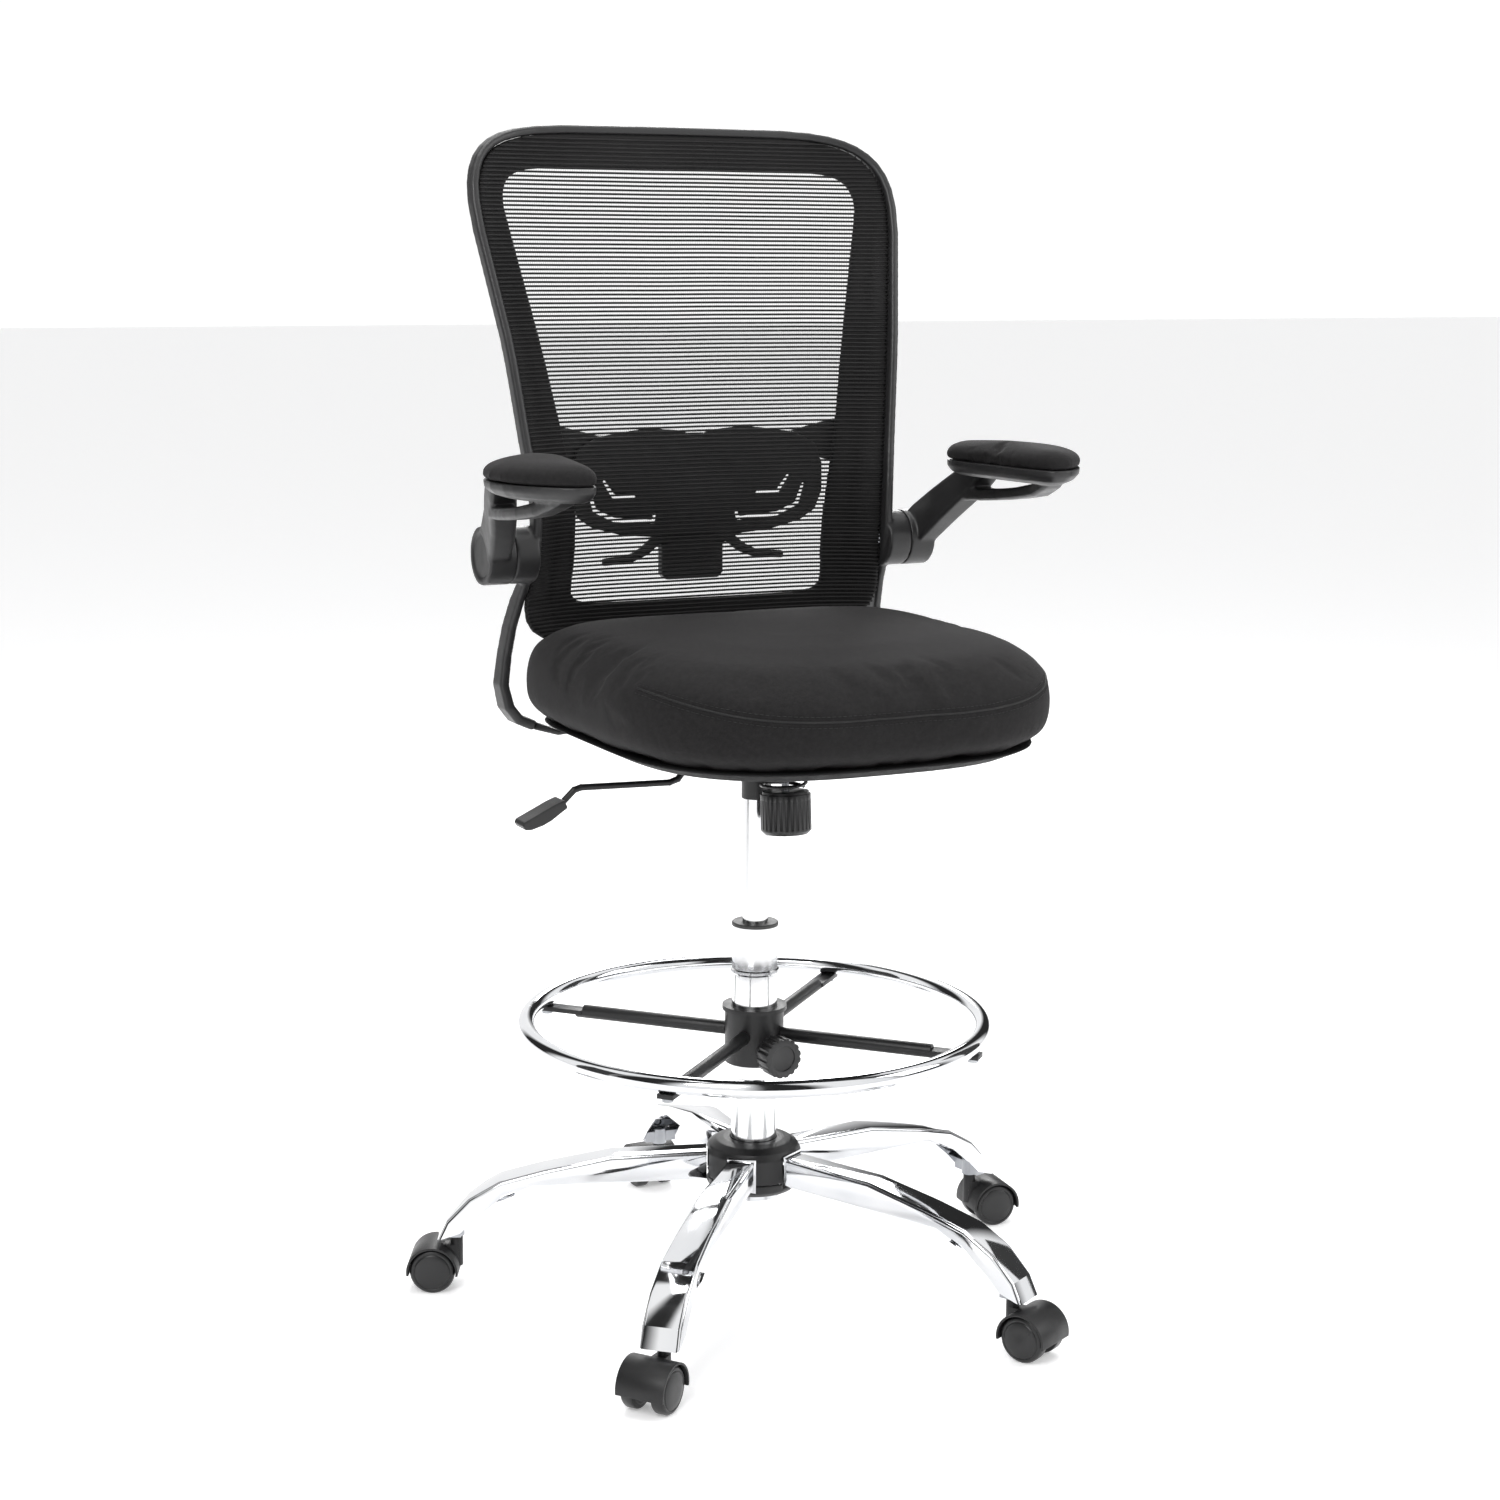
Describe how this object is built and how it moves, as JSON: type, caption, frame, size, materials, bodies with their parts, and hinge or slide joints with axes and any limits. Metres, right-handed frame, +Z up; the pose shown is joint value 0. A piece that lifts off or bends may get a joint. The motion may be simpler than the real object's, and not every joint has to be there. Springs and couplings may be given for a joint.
{
  "type": "drafting chair",
  "caption": "Tall drafting chair with a chrome caster base, adjustable foot ring, gas lift, tilting upholstered seat, framed mesh back with lumbar support and flip-up padded arms.",
  "frame": {"origin": "on the floor, on the axis of the column", "axes": "+Z up, the sitter faces -Y, +X is the sitter's left"},
  "size_m": [0.7404, 0.7281, 1.275],
  "materials": {
    "chrome_base": "polished",
    "chrome_tube": "polished",
    "chrome_ring": "polished",
    "steel": "satin",
    "spring_steel": "satin",
    "painted_steel": "satin",
    "nylon": "satin",
    "cover_plastic": "satin",
    "hub_plastic": "satin",
    "knob_plastic": "satin",
    "handle_plastic": "satin",
    "pan_plastic": "matte",
    "seat_fabric": "woven",
    "frame_plastic": "satin",
    "border_plastic": "matte",
    "mesh_fabric": "open ribbed mesh",
    "lumbar_plastic": "satin",
    "arm_plastic": "satin",
    "pad_fabric": "woven",
    "caster_plastic": "satin",
    "wheel_plastic": "satin"
  },
  "bodies": {
    "base": {"base_legs": "chrome_base", "base_hub_tube": "chrome_base", "caster_sockets": "steel", "hub_cover_upper": "cover_plastic", "hub_cover_lower": "cover_plastic", "column_tube": "chrome_tube", "gas_cylinder": "chrome_tube", "column_bush": "nylon", "thrust_bearing": "steel"},
    "caster_1": {"caster_housing_1": "caster_plastic", "caster_pins_1": "steel"},
    "wheel_left_1": {"wheel_left_1": "wheel_plastic"},
    "wheel_right_1": {"wheel_right_1": "wheel_plastic"},
    "caster_2": {"caster_housing_2": "caster_plastic", "caster_pins_2": "steel"},
    "wheel_left_2": {"wheel_left_2": "wheel_plastic"},
    "wheel_right_2": {"wheel_right_2": "wheel_plastic"},
    "caster_3": {"caster_housing_3": "caster_plastic", "caster_pins_3": "steel"},
    "wheel_left_3": {"wheel_left_3": "wheel_plastic"},
    "wheel_right_3": {"wheel_right_3": "wheel_plastic"},
    "caster_4": {"caster_housing_4": "caster_plastic", "caster_pins_4": "steel"},
    "wheel_left_4": {"wheel_left_4": "wheel_plastic"},
    "wheel_right_4": {"wheel_right_4": "wheel_plastic"},
    "caster_5": {"caster_housing_5": "caster_plastic", "caster_pins_5": "steel"},
    "wheel_left_5": {"wheel_left_5": "wheel_plastic"},
    "wheel_right_5": {"wheel_right_5": "wheel_plastic"},
    "ring": {"foot_ring": "chrome_ring", "ring_spokes": "painted_steel", "ring_hub": "hub_plastic", "ring_bolts": "steel"},
    "clamp_pad": {"clamp_pad": "nylon"},
    "clamp_knob": {"clamp_knob": "knob_plastic"},
    "rod": {"piston_rod": "steel"},
    "lift": {"pressure_tube": "chrome_tube", "mech_housing": "painted_steel", "mech_pins": "steel", "tension_spring": "spring_steel"},
    "valve": {"valve_pin": "steel"},
    "lever": {"lever_rod": "painted_steel", "lever_handle": "handle_plastic"},
    "seat": {"seat_plate": "painted_steel", "tension_bolt": "steel", "seat_pan": "pan_plastic", "seat_screws": "steel", "seat_cushion": "seat_fabric", "seat_brackets": "painted_steel", "back_frame": "frame_plastic", "mesh_frame": "border_plastic", "back_mesh": "mesh_fabric", "lumbar_bridge": "lumbar_plastic", "arm_pins": "steel"},
    "tension_knob": {"tension_knob": "knob_plastic"},
    "lumbar": {"lumbar_pad": "lumbar_plastic"},
    "arm_left": {"arm_bracket_left": "arm_plastic", "arm_pad_left": "pad_fabric"},
    "arm_right": {"arm_bracket_right": "arm_plastic", "arm_pad_right": "pad_fabric"}
  },
  "joints": [
    {"name": "caster_swivel_1", "type": "hinge", "parent": "base", "child": "caster_1", "pos_m": [0.32279, 0.06861, 0.05], "axis": [0, 0, 1], "continuous": true},
    {"name": "wheel_left_roll_1", "type": "hinge", "parent": "caster_1", "child": "wheel_left_1", "pos_m": [0.34765, 0.066, 0.025], "axis": [0.1045, 0.9945, 0], "continuous": true},
    {"name": "wheel_right_roll_1", "type": "hinge", "parent": "caster_1", "child": "wheel_right_1", "pos_m": [0.34765, 0.066, 0.025], "axis": [0.1045, 0.9945, 0], "continuous": true},
    {"name": "caster_swivel_2", "type": "hinge", "parent": "base", "child": "caster_2", "pos_m": [0.03449, 0.32819, 0.05], "axis": [0, 0, 1], "continuous": true},
    {"name": "wheel_left_roll_2", "type": "hinge", "parent": "caster_2", "child": "wheel_left_2", "pos_m": [0.03406, 0.35319, 0.025], "axis": [-0.9998, -0.0175, 0], "continuous": true},
    {"name": "wheel_right_roll_2", "type": "hinge", "parent": "caster_2", "child": "wheel_right_2", "pos_m": [0.03406, 0.35319, 0.025], "axis": [-0.9998, -0.0175, 0], "continuous": true},
    {"name": "caster_swivel_3", "type": "hinge", "parent": "base", "child": "caster_3", "pos_m": [-0.30147, 0.13422, 0.05], "axis": [0, 0, 1], "continuous": true},
    {"name": "wheel_left_roll_3", "type": "hinge", "parent": "caster_3", "child": "wheel_left_3", "pos_m": [-0.32375, 0.14557, 0.025], "axis": [-0.454, -0.891, 0], "continuous": true},
    {"name": "wheel_right_roll_3", "type": "hinge", "parent": "caster_3", "child": "wheel_right_3", "pos_m": [-0.32375, 0.14557, 0.025], "axis": [-0.454, -0.891, 0], "continuous": true},
    {"name": "caster_swivel_4", "type": "hinge", "parent": "base", "child": "caster_4", "pos_m": [-0.22081, -0.24524, 0.05], "axis": [0, 0, 1], "continuous": true},
    {"name": "wheel_left_roll_4", "type": "hinge", "parent": "caster_4", "child": "wheel_left_4", "pos_m": [-0.24078, -0.26028, 0.025], "axis": [0.6018, -0.7986, 0], "continuous": true},
    {"name": "wheel_right_roll_4", "type": "hinge", "parent": "caster_4", "child": "wheel_right_4", "pos_m": [-0.24078, -0.26028, 0.025], "axis": [0.6018, -0.7986, 0], "continuous": true},
    {"name": "caster_swivel_5", "type": "hinge", "parent": "base", "child": "caster_5", "pos_m": [0.165, -0.28579, 0.05], "axis": [0, 0, 1], "continuous": true},
    {"name": "wheel_left_roll_5", "type": "hinge", "parent": "caster_5", "child": "wheel_left_5", "pos_m": [0.17635, -0.30806, 0.025], "axis": [0.891, 0.454, 0], "continuous": true},
    {"name": "wheel_right_roll_5", "type": "hinge", "parent": "caster_5", "child": "wheel_right_5", "pos_m": [0.17635, -0.30806, 0.025], "axis": [0.891, 0.454, 0], "continuous": true},
    {"name": "seat_swivel", "type": "hinge", "parent": "base", "child": "rod", "pos_m": [0, 0, 0.13], "axis": [0, 0, 1], "continuous": true},
    {"name": "seat_height", "type": "slide", "parent": "rod", "child": "lift", "axis": [0, 0, 1], "range_m": [-0.13, 0.05]},
    {"name": "seat_tilt", "type": "hinge", "parent": "lift", "child": "seat", "pos_m": [0, 0.036, 0.608], "axis": [-1, 0, 0], "range_deg": [0, 10], "stiffness_Nm_per_rad": 120, "springref_deg": -20.05, "deforming": ["tension_spring"]},
    {"name": "tension_knob_turn", "type": "hinge", "parent": "seat", "child": "tension_knob", "pos_m": [0, -0.06939, 0.575], "axis": [0, 0.0785, 0.9969], "range_deg": [-360, 360]},
    {"name": "lever_lift", "type": "hinge", "parent": "lift", "child": "lever", "pos_m": [-0.042, 0, 0.6068], "axis": [0, 1, 0], "range_deg": [0, 5], "stiffness_Nm_per_rad": 6, "springref_deg": -5.73},
    {"name": "valve_press", "type": "slide", "parent": "lift", "child": "valve", "axis": [0, 0, -1], "range_m": [0, 0.0045]},
    {"name": "ring_height", "type": "slide", "parent": "base", "child": "ring", "axis": [0, 0, 1], "range_m": [-0.07, 0.03]},
    {"name": "clamp_slide", "type": "slide", "parent": "ring", "child": "clamp_pad", "axis": [0.0523, -0.9986, 0], "range_m": [0, 0.003]},
    {"name": "clamp_knob_turn", "type": "hinge", "parent": "clamp_pad", "child": "clamp_knob", "pos_m": [0.00262, -0.04993, 0.28], "axis": [0.0523, -0.9986, 0], "range_deg": [0, 720]},
    {"name": "lumbar_height", "type": "slide", "parent": "seat", "child": "lumbar", "axis": [0, 0, 1], "range_m": [-0.012, 0.012]},
    {"name": "arm_left_flip", "type": "hinge", "parent": "seat", "child": "arm_left", "pos_m": [0.255, 0.121, 0.82], "axis": [-1, 0, 0], "range_deg": [0, 90]},
    {"name": "arm_right_flip", "type": "hinge", "parent": "seat", "child": "arm_right", "pos_m": [-0.255, 0.121, 0.82], "axis": [-1, 0, 0], "range_deg": [0, 90]}
  ],
  "couplings": [
    {"joint": "valve_press", "follows": "lever_lift", "m_per_rad": 0.047},
    {"joint": "clamp_slide", "follows": "clamp_knob_turn", "m_per_rad": 0.00023873}
  ]
}
